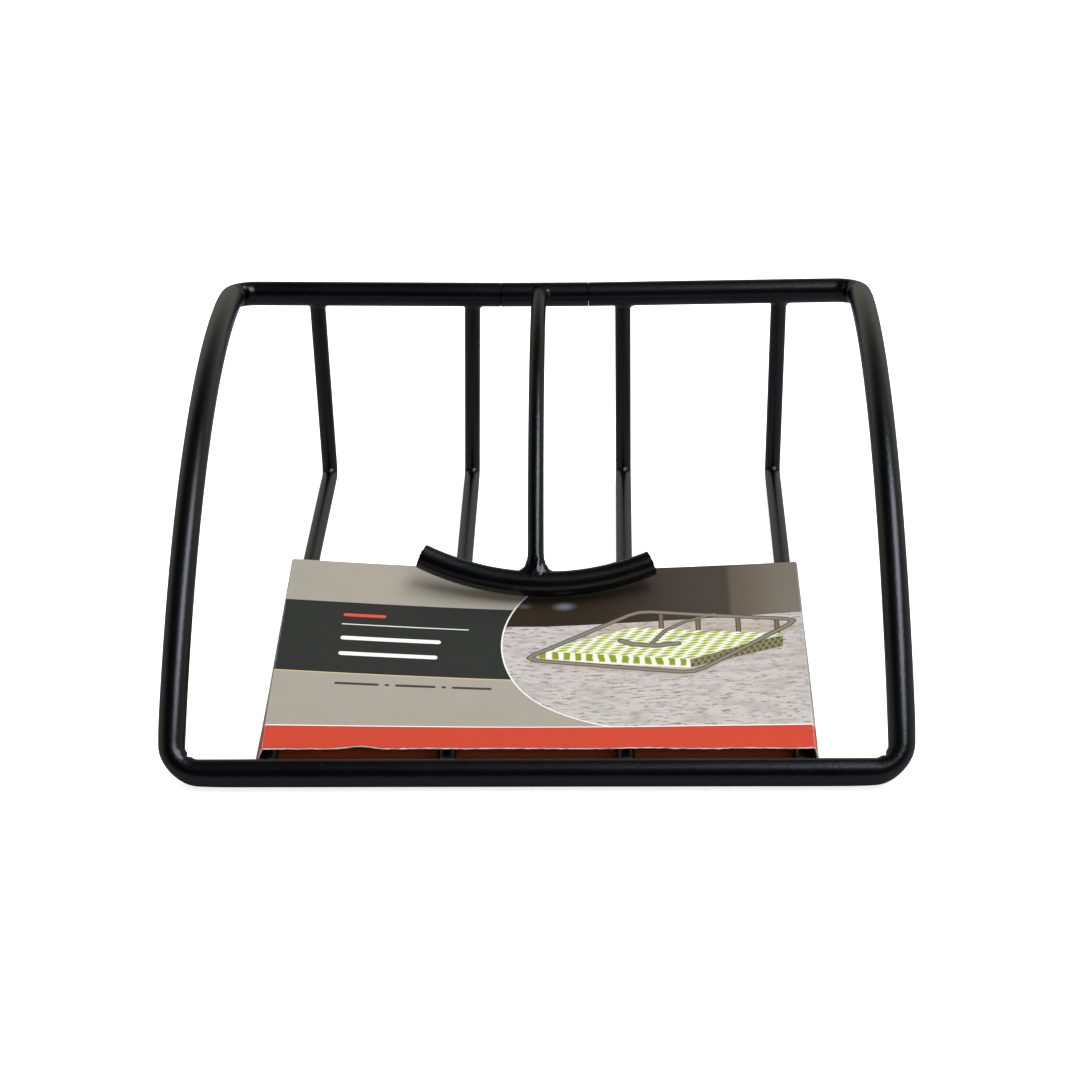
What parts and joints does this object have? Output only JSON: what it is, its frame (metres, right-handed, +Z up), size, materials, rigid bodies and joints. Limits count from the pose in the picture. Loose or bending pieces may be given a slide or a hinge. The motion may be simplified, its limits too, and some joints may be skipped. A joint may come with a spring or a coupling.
{
  "type": "wire napkin holder",
  "caption": "Black steel-wire napkin holder: low front rail, arched side rails, rib floor and a hinged weighted arm that holds the stack down, with a card sleeve.",
  "frame": {"origin": "middle of the footprint, on the table", "axes": "+Z up, +Y to the rear rail, +X to the right as the user faces the low front rail"},
  "size_m": [0.1904, 0.1904, 0.0698],
  "materials": {
    "coated_wire": "satin black powder coat",
    "coated_weld": "satin black powder coat over a weld bead",
    "pin_steel": "bare drawn steel",
    "printed_card": "coated card, printed outside, bare inside"
  },
  "bodies": {
    "frame": {"frame_loop": "coated_wire", "outer_left_rib": "coated_wire", "inner_left_rib": "coated_wire", "inner_right_rib": "coated_wire", "outer_right_rib": "coated_wire", "front_rib_welds": "coated_weld", "rear_rib_welds": "coated_weld", "pivot_pin": "pin_steel"},
    "arm": {"pivot_barrel": "coated_wire", "arm_wire": "coated_wire", "weight_bar": "coated_wire", "arm_barrel_weld": "coated_weld", "arm_bar_weld": "coated_weld"},
    "card": {"card_sleeve": "printed_card"}
  },
  "joints": [
    {"name": "arm_swing", "type": "hinge", "parent": "frame", "child": "arm", "pos_m": [0, 0.087, 0.06254], "axis": [-1, 0, 0], "range_deg": [0, 234]},
    {"name": "card_slide", "type": "slide", "parent": "frame", "child": "card", "axis": [0, 1, -0.0068], "range_m": [0, 0.0905]}
  ]
}
